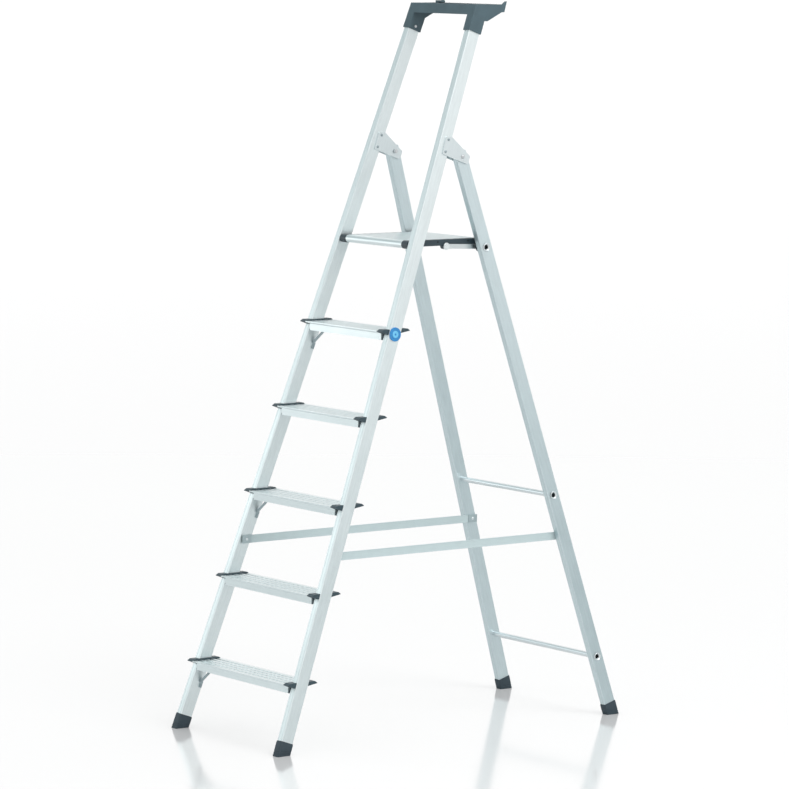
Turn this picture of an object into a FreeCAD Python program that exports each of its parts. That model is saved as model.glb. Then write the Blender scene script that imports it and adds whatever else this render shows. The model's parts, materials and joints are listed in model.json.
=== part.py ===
import FreeCAD, Part
import math
import os

# Platform step ladder in aluminium, millimetres, +Z up.
# The user climbs facing +Y, +X is to the right, and the origin lies on the floor
# under the middle of the whole ladder.

# ---- driving dimensions -------------------------------------------------------------

tread_pitch = 250.0            # height from one tread to the next
first_tread_height = 202.0     # top of the lowest tread above the floor
tread_count = 5

front_lean = 19.9              # degrees from the vertical, front frame
rear_lean = 17.0               # degrees from the vertical, rear frame
base_width = 557.0             # over the front stiles at the floor
front_taper = 0.0527           # loss of half width per unit of stile length
rear_taper = 0.0545

stile_depth = 40.0             # both frames use the same depth of box section
front_stile_width = 24.0
rear_stile_width = 21.5
stile_wall = 1.8
stile_corner = 2.0             # outside corner radius
stile_groove_width = 1.6       # two die grooves along each narrow face
stile_groove_depth = 0.6
stile_groove_edge = 5.0        # groove to the edge of the narrow face

hinge_above_platform = 292.4   # rear-frame pivot above the platform, along the stile
hinge_back = 92.0              # and behind the stile's front face
hinge_plate_thickness = 3.0
hinge_plate_corner = 5.0
hinge_plate_front = 15.0       # plate's front edge behind the stile's front face
hinge_plate_low_front = 18.0
hinge_plate_top = (39.0, 45.0)     # front and rear upper corners above the pivot
hinge_plate_top_back = 36.0
hinge_ear_above = 12.0         # ear round the pivot
hinge_ear_below = 14.0
hinge_ear_behind = 26.0
hinge_bolt_radius = 4.0
hinge_nut_height = 5.0
hinge_bush_radius = 6.0
hinge_head_radius = 7.0
hinge_head_height = 4.0
hinge_washer_radius = 7.0
hinge_washer_thickness = 0.4
hinge_rivet_ups = (33.0, -4.0)     # rivets above the pivot, along the stile
hinge_rivet_back = 27.0
hinge_rivet_radius = 2.4
hinge_rivet_head_radius = 4.6
hinge_rivet_head_height = 2.0
rear_stile_over_pivot = 17.0   # rear stile above its pivot

tread_nose = 27.0              # tread ahead of the front face of the stile
tread_tail = 32.0              # thin tail of the tread behind the rear face of the stile
tread_tail_drop = 8.0          # its thickness where it leaves the hollow part
tread_box_inset = 3.0          # hollow part ends this far ahead of the stile's rear face
tread_height = 28.0
tread_wall = 2.0
tread_lip = 3.0                # height of the front and rear edges of the top
tread_front_face = 11.0        # front face ahead of the stile, under the nose
tread_front_drop = 8.5         # upper edge of that face below the top
tread_groove_width = 7.0
tread_groove_depth = 2.0
tread_groove_count = 4

cap_thickness = 4.0            # end cap between the tread and the stile
cap_rise = 4.0                 # rim of the end cap above the tread
cap_lip = 1.0                  # rim laps this far down the edges of the top
cap_outer_margin = 3.0         # cap prongs stop short of the stile's outer face
cap_front_drop = 13.0          # depth of the front prong at the stile
cap_rear_drop = 8.0
cap_front_chamfer = 8.0
cap_rear_chamfer = 7.0
cap_plate_inset = 2.0          # lower part of the cap behind the stile's front face

brace_treads = (1, 3, 5)       # treads held by a knee brace at each end
brace_width = 9.0
brace_thickness = 3.0
brace_drop = 70.0              # lower rivet of the brace below the tread, along the stile
brace_inset = 7.0              # lower rivet ahead of the stile's rear face
brace_foot_below = 6.0         # tab on the stile, below and above that rivet
brace_foot_above = 13.0
brace_bend = 10.0              # the brace leaves the stile this far above the rivet
brace_inward = 36.0            # its sloping part, from side to side
brace_rearward = 15.0          # and from front to rear
brace_tab_length = 14.0        # tab under the tread
brace_rivet_radius = 2.0
brace_rivet_head_radius = 4.0
brace_rivet_head_height = 1.6

screw_radius = 2.5             # tread screws inside the front stiles
screw_head_radius = 4.5
screw_head_height = 3.0
screw_length = 14.0

foot_wall = 2.2
front_foot_height = 48.0
rear_foot_height = 33.0
front_stile_start = 22.0       # stile ends this far along, inside the foot
rear_stile_start = 12.0

rung_radius = 8.0
rung_wall = 1.6
rung_flare_radius = 13.0
rung_flare_thickness = 2.0
rung_flare_taper = 1.5
rung_mouth = 3.5               # the bore opens by this much at each end
lower_rung_heights = (181.0, 681.0)

platform_above_step = 6.0      # platform above the sixth even step
platform_rung_drop = 26.0      # top rung below the platform's top
platform_thickness = 15.0
platform_half_width = 142.0    # aluminium deck
platform_roll_radius = 11.5    # rounded front edge of the deck
platform_roll_wall = 2.0
platform_roll_ahead = 10.0     # roll centre ahead of the platform pivot
platform_rib_count = 9
platform_wall = 2.0
rail_half_width = 157.5        # over the plastic side rails
rail_height = 18.0
rail_boss_radius = 12.5
rail_boss_gap = 1.6            # pivot boss to the stile's inner face
rail_lug_radius = 9.0
rail_below_deck = 0.8          # rail's top below the deck's top
rail_over_rung = 4.5           # rail carries on behind the top rung
rail_pivot_radius = 10.0       # round the platform's pivot
rail_lip_below = 2.0           # lip behind the rung, below its middle
rail_screw_fronts = (50.0, 110.0)  # screws behind the middle of the front roll
rail_screw_rear = 40.0         # and ahead of the top rung
rail_screw_radius = 2.5
platform_pivot_back = 20.0     # platform pivot behind the front face of the stile
platform_pivot_drop = 10.0     # and below the platform's top
platform_pin_radius = 4.0
platform_pin_reach = 12.0
platform_pin_head = 2.5        # head beyond the pin's radius
platform_pin_head_height = 3.0

link_pivot_ahead = 122.0       # link pivot ahead of the top rung
link_pivot_above = 5.0         # and above it
link_thickness = 3.0
link_end_radius = 7.0
link_rung_end_radius = 12.5
link_disc_radius = 11.5
link_disc_height = 3.2
link_disc_taper = 1.5
link_eye_radius = 16.0
link_eye_width = 6.0
link_gap = 1.0                 # link to the side rail

strap_width = 24.0
strap_thickness = 1.6
strap_above_tread = 103.0      # middle of the straps above the second tread
strap_inset = 24.0             # strap rivet behind the front face of each stile
strap_overhang = 12.0          # strap beyond its rivet
strap_gap = 0.3                # strap to the stiles, to its clamps and round its rivets
clamp_length = 33.0
clamp_thickness = 1.5
strap_rivet_radius = 2.4
strap_rivet_head_radius = 4.8
strap_rivet_head_height = 2.0
strap_rivet_tail = 1.5

tray_above_platform = 688.0
tray_wall = 3.0
tray_floor = 4.0
tray_plate_height = 23.0
tray_front_height = 29.0
tray_bar_depth = 12.0
tray_socket_length = 55.0      # sockets down the stiles from their upper ends
tray_depth = 103.2             # rear wall of the tray behind the stiles' front faces
tray_horn_rise = 9.0
tray_horn_length = 9.0
tray_horn_root = 8.0           # horn's lower end, front to back
tray_horn_tip = 2.0
tray_gusset_thickness = 6.0
tray_gusset_drop = 38.0        # gusset's lower edge above the sockets' lower ends
tray_gusset_step = 15.0        # level part of that edge
tray_tab_width = 28.0          # raised tab on the left rear corner
tray_tab_length = 15.0
tray_tab_rise = 6.5
tray_front_pocket = 42.0       # small-parts pocket between the stiles, front to back
tray_divider = 6.0
tray_screw_radius = 2.5
tray_screw_head_radius = 5.0
tray_screw_head_height = 2.5
tray_screw_up = 12.0           # above the lower ends of the sockets
tray_screw_point = 3.0

badge_radius = 20.5
badge_up = 1276.0              # along the stile
badge_thickness = 3.0
badge_ring_radius = 10.0
badge_ring_height = 1.5
badge_dot_radius = 3.0
badge_seat_depth = 1.0         # the middle sits this deep in the disc

running_clearance = 0.05       # radial, pins and shafts
seat_clearance = 0.4           # platform saddle over its rung
taper_clearance = 0.1          # heads that sit square to a tapering frame
rivet_head_taper = 0.55        # crown of a rivet head as a share of its base
overshoot = 1.0                # cutters pass this far beyond what they cut
far = base_width               # and this far where they must pass everything

# ---- directions and reference points ------------------------------------------------

sin_front = math.sin(math.radians(front_lean))
cos_front = math.cos(math.radians(front_lean))
tan_front = sin_front / cos_front
sin_rear = math.sin(math.radians(rear_lean))
cos_rear = math.cos(math.radians(rear_lean))
tan_rear = sin_rear / cos_rear

strap_height = first_tread_height + tread_pitch + strap_above_tread
platform_top = first_tread_height + tread_pitch * tread_count + platform_above_step
rung_heights = lower_rung_heights + (platform_top - platform_rung_drop,)
tray_top = platform_top + tray_above_platform
tray_rear_y = tray_top * tan_front + tray_depth

hinge_up = platform_top / cos_front + hinge_above_platform
hinge_y = hinge_back * cos_front + hinge_up * sin_front
hinge_z = hinge_up * cos_front - hinge_back * sin_front
rear_front_face_y = hinge_y + hinge_z * tan_rear - stile_depth / 2 / cos_rear
rear_hinge_up = (hinge_z - stile_depth / 2 * sin_rear) / cos_rear

front_outer_at_hinge = base_width / 2 - front_taper * hinge_up
stile_width_difference = front_stile_width - rear_stile_width
rear_outer_at_hinge = front_outer_at_hinge - stile_width_difference / 2
rear_base_half = rear_outer_at_hinge + rear_taper * rear_hinge_up

front_along = FreeCAD.Vector(-front_taper, sin_front, cos_front).normalize()
front_depth = FreeCAD.Vector(0, cos_front, -sin_front)
rear_along = FreeCAD.Vector(-rear_taper, -sin_rear, cos_rear).normalize()
rear_depth = FreeCAD.Vector(0, cos_rear, sin_rear)


def local_placement(origin, along, depth):
    """Local X runs inward, Y along the stile and Z through its depth."""
    inward = along.cross(depth)
    matrix = FreeCAD.Matrix(
        inward.x, along.x, depth.x, origin.x,
        inward.y, along.y, depth.y, origin.y,
        inward.z, along.z, depth.z, origin.z,
        0, 0, 0, 1)
    return FreeCAD.Placement(matrix)


front_side = local_placement(FreeCAD.Vector(base_width / 2, 0, 0), front_along, front_depth)
rear_side = local_placement(
    FreeCAD.Vector(rear_base_half, rear_front_face_y, 0), rear_along, rear_depth)


def front_point(up, back):
    """(y, z) of a point in the front frame's side view."""
    return (back * cos_front + up * sin_front, up * cos_front - back * sin_front)


def front_outer_x(up):
    return base_width / 2 - front_taper * up


def rear_outer_x(up):
    return rear_base_half - rear_taper * up


def rear_up_at(height, back):
    """Distance along the rear stile of a point at this height and depth."""
    return (height - back * sin_rear) / cos_rear


def rear_y_at(height, back):
    up = rear_up_at(height, back)
    return rear_front_face_y - up * sin_rear + back * cos_rear


# ---- small builders -----------------------------------------------------------------

nodes = {}


def box(x0, x1, y0, y1, z0, z1):
    return Part.makeBox(x1 - x0, y1 - y0, z1 - z0, FreeCAD.Vector(x0, y0, z0))


def cylinder(radius, x0, x1, y, z):
    """Round bar along X."""
    return Part.makeCylinder(radius, x1 - x0, FreeCAD.Vector(x0, y, z), FreeCAD.Vector(1, 0, 0))


def extrude_yz(points, x0, x1):
    """Prism along X from an outline in the side view."""
    corners = [FreeCAD.Vector(x0, y, z) for y, z in points]
    face = Part.Face(Part.makePolygon(corners + corners[:1]))
    return face.extrude(FreeCAD.Vector(x1 - x0, 0, 0))


def placed(shape, placement):
    result = shape.copy()
    result.Placement = placement.multiply(result.Placement)
    return result


def mirrored(shape):
    return shape.mirror(FreeCAD.Vector(0, 0, 0), FreeCAD.Vector(1, 0, 0))


def both_sides(shape):
    return Part.makeCompound([shape, mirrored(shape)])


def cut_all(shape, tools):
    for tool in tools:
        shape = shape.cut(tool)
    return shape


def fuse_all(shapes):
    result = shapes[0].multiFuse(shapes[1:]) if len(shapes) > 1 else shapes[0]
    return result.removeSplitter()


def add(name, shape):
    nodes[name] = shape


def capsule(radius, x0, x1, start, end, end_radius=None):
    """Plate along X whose outline is two round ends joined by tangents."""
    end_radius = end_radius or radius
    (y0, z0), (y1, z1) = start, end
    length = math.hypot(y1 - y0, z1 - z0)
    angle = math.atan2(z1 - z0, y1 - y0)
    spread = math.acos((radius - end_radius) / length)
    corners = []
    for (y, z), r, sign in (((y0, z0), radius, 1), ((y1, z1), end_radius, 1),
                            ((y1, z1), end_radius, -1), ((y0, z0), radius, -1)):
        corners.append((y + r * math.cos(angle + sign * spread),
                        z + r * math.sin(angle + sign * spread)))
    return fuse_all([extrude_yz(corners, x0, x1),
                     cylinder(radius, x0, x1, y0, z0),
                     cylinder(end_radius, x0, x1, y1, z1)])


def local_pin(radius, w0, w1, up, back, placement):
    """Round pin square to a stile's side faces, in the stile's own axes."""
    pin = cylinder(radius, w0, w1, up, back)
    return placed(pin, placement)


def domed_head(radius, height, w_face, direction, up, back, placement):
    """Low rivet head standing on a side face."""
    base = FreeCAD.Vector(w_face, up, back)
    cone = Part.makeCone(radius, radius * rivet_head_taper, height, base,
                         FreeCAD.Vector(direction, 0, 0))
    return placed(cone, placement)


# ---- stiles -------------------------------------------------------------------------

def box_section(width, start, end):
    """Hollow stile with rounded corners, in its own axes."""
    outer = box(0, width, start, end, 0, stile_depth)
    long_edges = [e for e in outer.Edges if abs(e.BoundBox.YLength - (end - start)) < 0.01]
    outer = outer.makeFillet(min(stile_corner, width / 4), long_edges)
    inner = box(stile_wall, width - stile_wall, start - overshoot, end + overshoot,
                stile_wall, stile_depth - stile_wall)
    tools = [inner]
    for edge in (stile_groove_edge, width - stile_groove_edge - stile_groove_width):
        for face in (0, stile_depth - stile_groove_depth):
            tools.append(box(edge, edge + stile_groove_width, start - overshoot,
                             end + overshoot, face, face + stile_groove_depth))
    return cut_all(outer, tools)


front_stile_end = (tray_top - tray_plate_height + tray_floor) / cos_front
tray_socket_start = front_stile_end - tray_socket_length
front_envelope = placed(
    box(0, front_stile_width, 0, front_stile_end + far, 0, stile_depth), front_side)


def hinge_plate_outline():
    """Corners along and behind the stile: riveted front part and rear pivot ear."""
    behind = hinge_back + hinge_ear_behind
    return [(hinge_up + hinge_plate_top[0], hinge_plate_front),
            (hinge_up + hinge_plate_top[1], hinge_plate_top_back),
            (hinge_up + hinge_ear_above, behind), (hinge_up - hinge_ear_below, behind),
            (hinge_up - hinge_ear_below, hinge_plate_low_front)]


def hinge_rivet_places():
    return [(hinge_up + above, hinge_rivet_back) for above in hinge_rivet_ups]


def build_front_stile():
    stile = placed(box_section(front_stile_width, front_stile_start, front_stile_end), front_side)
    inner_wall = front_stile_width - stile_wall - overshoot
    beyond = front_stile_width + overshoot
    holes = [strap_rivet_hole(strap_front_point(), strap_front_inner_x())]
    for up, back in hinge_rivet_places():
        holes.append(local_pin(hinge_rivet_radius, -overshoot, beyond, up, back, front_side))
    for number in range(1, tread_count + 1):
        for up, back in screw_places(number):
            holes.append(local_pin(screw_radius, inner_wall, beyond, up, back, front_side))
    for number in brace_treads:
        up, back = brace_foot(number)
        holes.append(local_pin(brace_rivet_radius, inner_wall, beyond, up, back, front_side))
    up, back = tray_screw_place()
    holes.append(local_pin(tray_screw_radius, inner_wall, beyond, up, back, front_side))
    y, z = platform_pivot()
    holes.append(cylinder(platform_pin_radius, platform_pin_inner_x() + overshoot,
                          front_outer_x(platform_pivot_up()) - 2 * stile_wall, y, z))
    return cut_all(stile, holes)


def build_rear_stile():
    end = rear_hinge_up + rear_stile_over_pivot
    stile = placed(box_section(rear_stile_width, rear_stile_start, end), rear_side)
    holes = [cylinder(hinge_bush_radius, 0, far, hinge_y, hinge_z)]
    for height in rung_heights:
        holes.append(cylinder(rung_radius, 0, far, rung_y(height), height))
    holes.append(strap_rivet_hole(strap_rear_point(), strap_rear_inner_x()))
    return cut_all(stile, holes)


# ---- feet ---------------------------------------------------------------------------

def build_foot(width, height, start, placement):
    shell = box(-foot_wall, width + foot_wall, -stile_depth, height,
                -foot_wall, stile_depth + foot_wall)
    pocket = box(0, width, start, height + overshoot, 0, stile_depth)
    foot = placed(shell.cut(pocket), placement)
    floor = box(-far, far, -far, rear_front_face_y + far, -far, 0)
    return foot.cut(floor)


# ---- treads -------------------------------------------------------------------------

def tread_top(number):
    return first_tread_height + tread_pitch * (number - 1)


def tread_origin_y(number):
    """Front face of the stile at the height of this tread."""
    return tread_top(number) * tan_front


def stile_rear_offset():
    return stile_depth / cos_front


def tread_tail_offset():
    return stile_rear_offset() + tread_tail


def tread_box_rear(drop):
    """Rear wall of the hollow part at this depth below the top, parallel to the stile."""
    return stile_rear_offset() - tread_box_inset - drop * tan_front


def tread_outline(number):
    """Section of a tread: hollow part beside the stiles, nose ahead and thin tail behind."""
    y = tread_origin_y(number)
    z = tread_top(number)
    tail = tread_tail_offset()
    return [(y - tread_nose, z), (y + tail, z), (y + tail, z - tread_lip),
            (y + tread_box_rear(tread_tail_drop), z - tread_tail_drop),
            (y + tread_box_rear(tread_height), z - tread_height),
            (y - tread_front_face, z - tread_height), (y - tread_front_face, z - tread_front_drop),
            (y - tread_nose, z - tread_lip)]


def tread_hollow(number):
    y = tread_origin_y(number)
    z = tread_top(number)
    front = y - tread_front_face + tread_wall
    rear = y - tread_wall / cos_front
    roof = tread_groove_depth + tread_wall
    floor = tread_height - tread_wall
    return [(front, z - roof), (rear + tread_box_rear(roof), z - roof),
            (rear + tread_box_rear(floor), z - floor), (front, z - floor)]


def tread_up(number, dy, dz):
    """Distance along the stile of a point near this tread."""
    return (tread_origin_y(number) + dy) * sin_front + (tread_top(number) + dz) * cos_front


def tread_half_length(number):
    """The tread stops a cap's thickness short of the stile where the frame is narrowest."""
    highest = tread_up(number, tread_tail_offset(), 0)
    return front_outer_x(highest) - front_stile_width - cap_thickness


def build_tread(number):
    half = tread_half_length(number)
    tread = extrude_yz(tread_outline(number), -half, half)
    end = half + overshoot
    inside = half - tread_wall
    tread = tread.cut(extrude_yz(tread_hollow(number), -inside, inside))
    for hole in screw_holes(number):
        tread = tread.cut(hole).cut(mirrored(hole))
    y = tread_origin_y(number)
    z = tread_top(number)
    span = tread_nose + tread_tail_offset()
    for index in range(tread_groove_count):
        middle = y - tread_nose + span * (index + 1) / (tread_groove_count + 1)
        tread = tread.cut(box(-end, end, middle - tread_groove_width / 2,
                              middle + tread_groove_width / 2, z - tread_groove_depth,
                              z + overshoot))
    if number in brace_treads:
        for side in (-1, 1):
            tread = tread.cut(brace_tab_pin(number, side))
    return tread


def outside_of(depth):
    """Everything further out than this depth inside the outer face of the right front stile."""
    return placed(box(-far, depth, 0, hinge_up, -far, far), front_side)


def build_tread_cap(number):
    half = tread_half_length(number)
    y = tread_origin_y(number)
    z = tread_top(number)
    tail = tread_tail_offset()
    rear = stile_rear_offset()
    lowest = tread_up(number, -tread_nose, -tread_height)
    front = y + cap_plate_inset
    plate_points = [(y - tread_nose, z), (y + tail, z), (y + tail, z - tread_lip),
                    (y + tread_box_rear(tread_tail_drop), z - tread_tail_drop),
                    (y + tread_box_rear(tread_height), z - tread_height),
                    (front - tread_height * tan_front, z - tread_height),
                    (front - cap_front_drop * tan_front, z - cap_front_drop),
                    (y - tread_nose, z - tread_lip)]
    rim_points = [(y - tread_nose, z - cap_lip), (y - tread_nose + cap_front_chamfer, z + cap_rise),
                  (y + tail - cap_rear_chamfer, z + cap_rise), (y + tail, z - cap_lip)]
    inner_face = front_outer_x(lowest) - front_stile_width
    plate = fuse_all([extrude_yz(plate_points, half, inner_face),
                      extrude_yz(rim_points, half, inner_face)])
    prong_points = rim_points + [(y + tail, z - tread_lip), (y + rear, z - cap_rear_drop),
                                 (y, z - cap_front_drop), (y - tread_nose, z - tread_lip)]
    prong = extrude_yz(prong_points, half + cap_thickness / 2,
                       front_outer_x(lowest) - cap_outer_margin)
    outer_cut = outside_of(cap_outer_margin)
    inner_cut = outside_of(front_stile_width)
    cap = fuse_all([plate.cut(inner_cut), prong.cut(outer_cut)]).cut(front_envelope)
    return cut_all(cap, screw_holes(number))


def screw_places(number):
    """Two screws per tread end, inside the depth of the stile."""
    middle = -tread_height / 2
    ends = []
    for back in (stile_depth * 0.3, stile_depth * 0.7):
        up = (tread_top(number) + middle + back * sin_front) / cos_front
        ends.append((up, back))
    return ends


def screw_holes(number):
    """Through the cap and the end wall of the tread."""
    return [local_pin(screw_radius, front_stile_width - overshoot,
                      front_stile_width + screw_length, up, back, front_side)
            for up, back in screw_places(number)]


def build_tread_screw(number, place):
    up, back = place
    inside = front_stile_width - stile_wall
    shank = local_pin(screw_radius, inside, inside + screw_length, up, back, front_side)
    head = local_pin(screw_head_radius, inside - screw_head_height, inside, up, back, front_side)
    return fuse_all([head, shank])


# ---- braces under the treads --------------------------------------------------------

def brace_foot(number):
    """Lower rivet, in the stile's own axes."""
    return (tread_top(number) / cos_front - brace_drop, stile_depth - brace_inset)


def brace_bend_point(number):
    """Where the brace leaves the inner face of the stile: (x, y, z)."""
    up, back = brace_foot(number)
    y = front_point(up, back)[0]
    z = front_point(up, back)[1] + brace_bend
    x = front_outer_x(y * sin_front + z * cos_front) - front_stile_width
    return (x, y, z)


def brace_slope_width():
    """Level width of the sloping part, from side to side."""
    rise = brace_drop * cos_front - tread_height
    return brace_thickness * math.hypot(rise, brace_inward) / rise


def brace_tab_middle(number):
    """Middle of the tab under the tread: (x, y)."""
    x, y, z = brace_bend_point(number)
    x = x - brace_inward - brace_slope_width() - brace_tab_length / 2
    return (x, y + brace_rearward)


def brace_tab_pin(number, side):
    """Rivet shank up through the tab and the lower wall of the tread."""
    x, y = brace_tab_middle(number)
    low = tread_top(number) - tread_height - brace_thickness
    return Part.makeCylinder(brace_rivet_radius, brace_thickness + tread_wall,
                             FreeCAD.Vector(side * x, y, low))


def build_brace(number):
    """Flat bar bent twice: foot on the stile, sloping part, and tab under the tread."""
    up, back = brace_foot(number)
    half = brace_width / 2
    foot = placed(box(front_stile_width, front_stile_width + brace_thickness,
                      up - brace_foot_below, up + brace_foot_above, back - half, back + half),
                  front_side)
    x, y, z = brace_bend_point(number)
    under = tread_top(number) - tread_height
    across = brace_slope_width()
    section = Part.makePolygon([FreeCAD.Vector(x + overshoot, y - half, z),
                                FreeCAD.Vector(x + overshoot, y + half, z),
                                FreeCAD.Vector(x - across, y + half, z),
                                FreeCAD.Vector(x - across, y - half, z),
                                FreeCAD.Vector(x + overshoot, y - half, z)])
    bar = Part.Face(section).extrude(FreeCAD.Vector(-brace_inward, brace_rearward, under - z))
    tab_x, tab_y = brace_tab_middle(number)
    tab = box(tab_x - brace_tab_length / 2, x - brace_inward, tab_y - half, tab_y + half,
              under - brace_thickness, under)
    brace = fuse_all([foot, bar.cut(outside_of(front_stile_width)), tab])
    hole = local_pin(brace_rivet_radius, front_stile_width - overshoot,
                     front_stile_width + brace_thickness + overshoot, up, back, front_side)
    return cut_all(brace, [hole, brace_tab_pin(number, 1)])


def build_brace_rivets(number):
    up, back = brace_foot(number)
    w0 = front_stile_width - stile_wall
    w1 = front_stile_width + brace_thickness
    shank = local_pin(brace_rivet_radius, w0, w1, up, back, front_side)
    head = domed_head(brace_rivet_head_radius, brace_rivet_head_height, w1, 1, up, back, front_side)
    tail = domed_head(brace_rivet_head_radius, brace_rivet_head_height, w0, -1, up, back, front_side)
    stile_rivet = fuse_all([shank, head, tail])
    x, y = brace_tab_middle(number)
    high = tread_top(number) - tread_height + tread_wall
    low = high - tread_wall - brace_thickness
    crown = brace_rivet_head_radius * rivet_head_taper
    down = Part.makeCone(brace_rivet_head_radius, crown, brace_rivet_head_height,
                         FreeCAD.Vector(x, y, low), FreeCAD.Vector(0, 0, -1))
    top = Part.makeCone(brace_rivet_head_radius, crown, brace_rivet_head_height,
                        FreeCAD.Vector(x, y, high))
    return [stile_rivet, fuse_all([brace_tab_pin(number, 1), down, top])]


# ---- rear frame ---------------------------------------------------------------------

def rung_y(height):
    return rear_y_at(height, stile_depth / 2)


def build_rung(height):
    y = rung_y(height)
    up = rear_up_at(height, stile_depth / 2)
    face = rear_outer_x(up) + rear_taper * rung_flare_radius + taper_clearance
    tube = cylinder(rung_radius, -face - rung_flare_thickness, face + rung_flare_thickness, y, height)
    flares = []
    for side in (-1, 1):
        base = FreeCAD.Vector(side * face, y, height)
        flares.append(Part.makeCone(rung_flare_radius, rung_flare_radius - rung_flare_taper,
                                    rung_flare_thickness, base, FreeCAD.Vector(side, 0, 0)))
    rung = fuse_all([tube] + flares)
    bore = rung_radius - rung_wall
    rung = rung.cut(cylinder(bore, -far, far, y, height))
    for side in (-1, 1):
        start = FreeCAD.Vector(side * (face - rung_wall), y, height)
        rung = rung.cut(Part.makeCone(bore, bore + rung_mouth, rung_flare_thickness + rung_wall,
                                      start, FreeCAD.Vector(side, 0, 0)))
    return rung


# ---- rear frame hinge ---------------------------------------------------------------

def build_hinge_plate(w0):
    corners = [FreeCAD.Vector(w0, up, back) for up, back in hinge_plate_outline()]
    face = Part.Face(Part.makePolygon(corners + corners[:1]))
    plate = face.extrude(FreeCAD.Vector(hinge_plate_thickness, 0, 0))
    edges = [e for e in plate.Edges if abs(e.BoundBox.XLength - hinge_plate_thickness) < 0.01
             and e.BoundBox.YLength < 0.01]
    plate = placed(plate.makeFillet(hinge_plate_corner, edges), front_side)
    holes = [cylinder(hinge_bolt_radius + running_clearance, 0, far, hinge_y, hinge_z)]
    for up, back in hinge_rivet_places():
        holes.append(local_pin(hinge_rivet_radius, w0 - overshoot,
                               w0 + hinge_plate_thickness + overshoot, up, back, front_side))
    return cut_all(plate, holes)


def hinge_bolt_faces():
    """Outermost and innermost X of the plates under the bolt head and nut."""
    tilt = front_taper * hinge_head_radius + taper_clearance
    outer = front_outer_x(hinge_up) + hinge_plate_thickness + tilt
    inner = front_outer_x(hinge_up) - front_stile_width - hinge_plate_thickness - tilt
    return outer, inner


def build_hinge_bolt():
    outer, inner = hinge_bolt_faces()
    end = inner - hinge_nut_height - overshoot
    shank = cylinder(hinge_bolt_radius, end, outer, hinge_y, hinge_z)
    head = Part.makeCone(hinge_head_radius, hinge_head_radius * rivet_head_taper, hinge_head_height,
                         FreeCAD.Vector(outer, hinge_y, hinge_z), FreeCAD.Vector(1, 0, 0))
    return fuse_all([shank, head])


def build_hinge_nut():
    outer, inner = hinge_bolt_faces()
    corners = []
    for index in range(6):
        angle = math.radians(60 * index)
        corners.append((hinge_y + hinge_head_radius * math.cos(angle),
                        hinge_z + hinge_head_radius * math.sin(angle)))
    nut = extrude_yz(corners, inner - hinge_nut_height, inner)
    return nut.cut(cylinder(hinge_bolt_radius, 0, far, hinge_y, hinge_z))


def build_hinge_bush():
    """Bush tube right through the rear stile, turning on the bolt."""
    middle = rear_outer_at_hinge - rear_stile_width / 2
    half = rear_stile_width / 2
    bush = cylinder(hinge_bush_radius, middle - half, middle + half, hinge_y, hinge_z)
    return bush.cut(cylinder(hinge_bolt_radius + running_clearance, 0, far,
                             hinge_y, hinge_z))


def build_hinge_washers():
    """Thin washers on the bolt between the plates and the rear stile."""
    middle = rear_outer_at_hinge - rear_stile_width / 2
    gap_middle = (front_stile_width + rear_stile_width) / 4
    washers = []
    for side in (-1, 1):
        x = middle + side * gap_middle
        ring = cylinder(hinge_washer_radius, x - hinge_washer_thickness / 2,
                        x + hinge_washer_thickness / 2, hinge_y, hinge_z)
        washers.append(ring.cut(cylinder(hinge_bolt_radius, 0, far, hinge_y, hinge_z)))
    return washers


def build_hinge_rivets():
    rivets = []
    w0 = -hinge_plate_thickness
    w1 = front_stile_width + hinge_plate_thickness
    for up, back in hinge_rivet_places():
        shank = local_pin(hinge_rivet_radius, w0, w1, up, back, front_side)
        heads = [domed_head(hinge_rivet_head_radius, hinge_rivet_head_height, w0, -1,
                            up, back, front_side),
                 domed_head(hinge_rivet_head_radius, hinge_rivet_head_height, w1, 1,
                            up, back, front_side)]
        rivets.append(fuse_all([shank] + heads))
    return rivets


# ---- platform -----------------------------------------------------------------------

def platform_pivot_up():
    height = platform_top - platform_pivot_drop
    return (height + platform_pivot_back * sin_front) / cos_front


def platform_pivot():
    return front_point(platform_pivot_up(), platform_pivot_back)


def platform_inner_x():
    """Inner face of the stile beside the platform pivot, at its narrowest."""
    reach = rail_boss_radius
    return front_outer_x(platform_pivot_up() + reach) - front_stile_width


def platform_pin_inner_x():
    return platform_inner_x() - rail_boss_gap - platform_pin_reach


def roll_centre():
    y, z = platform_pivot()
    return (y - platform_roll_ahead, platform_top - platform_roll_radius)


def top_rung():
    height = rung_heights[-1]
    return (rung_y(height), height)


def link_pivot():
    y, z = top_rung()
    return (y - link_pivot_ahead, z + link_pivot_above)


def build_platform_deck():
    y0, z0 = roll_centre()
    half = platform_half_width
    low = platform_top - platform_thickness
    roll = cylinder(platform_roll_radius, -half, half, y0, z0)
    plate = box(-half, half, y0, top_rung()[0], low, platform_top)
    deck = fuse_all([roll, plate])
    end = half + overshoot
    deck = deck.cut(cylinder(platform_roll_radius - platform_roll_wall, -end, end, y0, z0))
    cell_start = y0 + platform_roll_radius + platform_wall
    cell_end = top_rung()[0] - platform_wall
    cell = (cell_end - cell_start) / 3
    for index in range(3):
        start = cell_start + cell * index
        deck = deck.cut(box(-end, end, start, start + cell - platform_wall,
                            low + platform_wall, platform_top - 1.5 * platform_wall))
    span = cell_end - cell_start
    for index in range(platform_rib_count):
        middle = cell_start + span * (index + 0.5) / platform_rib_count
        deck = deck.cut(box(-end, end, middle - tread_groove_width / 2,
                            middle + tread_groove_width / 2,
                            platform_top - tread_groove_depth, platform_top + overshoot))
    return deck


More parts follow.
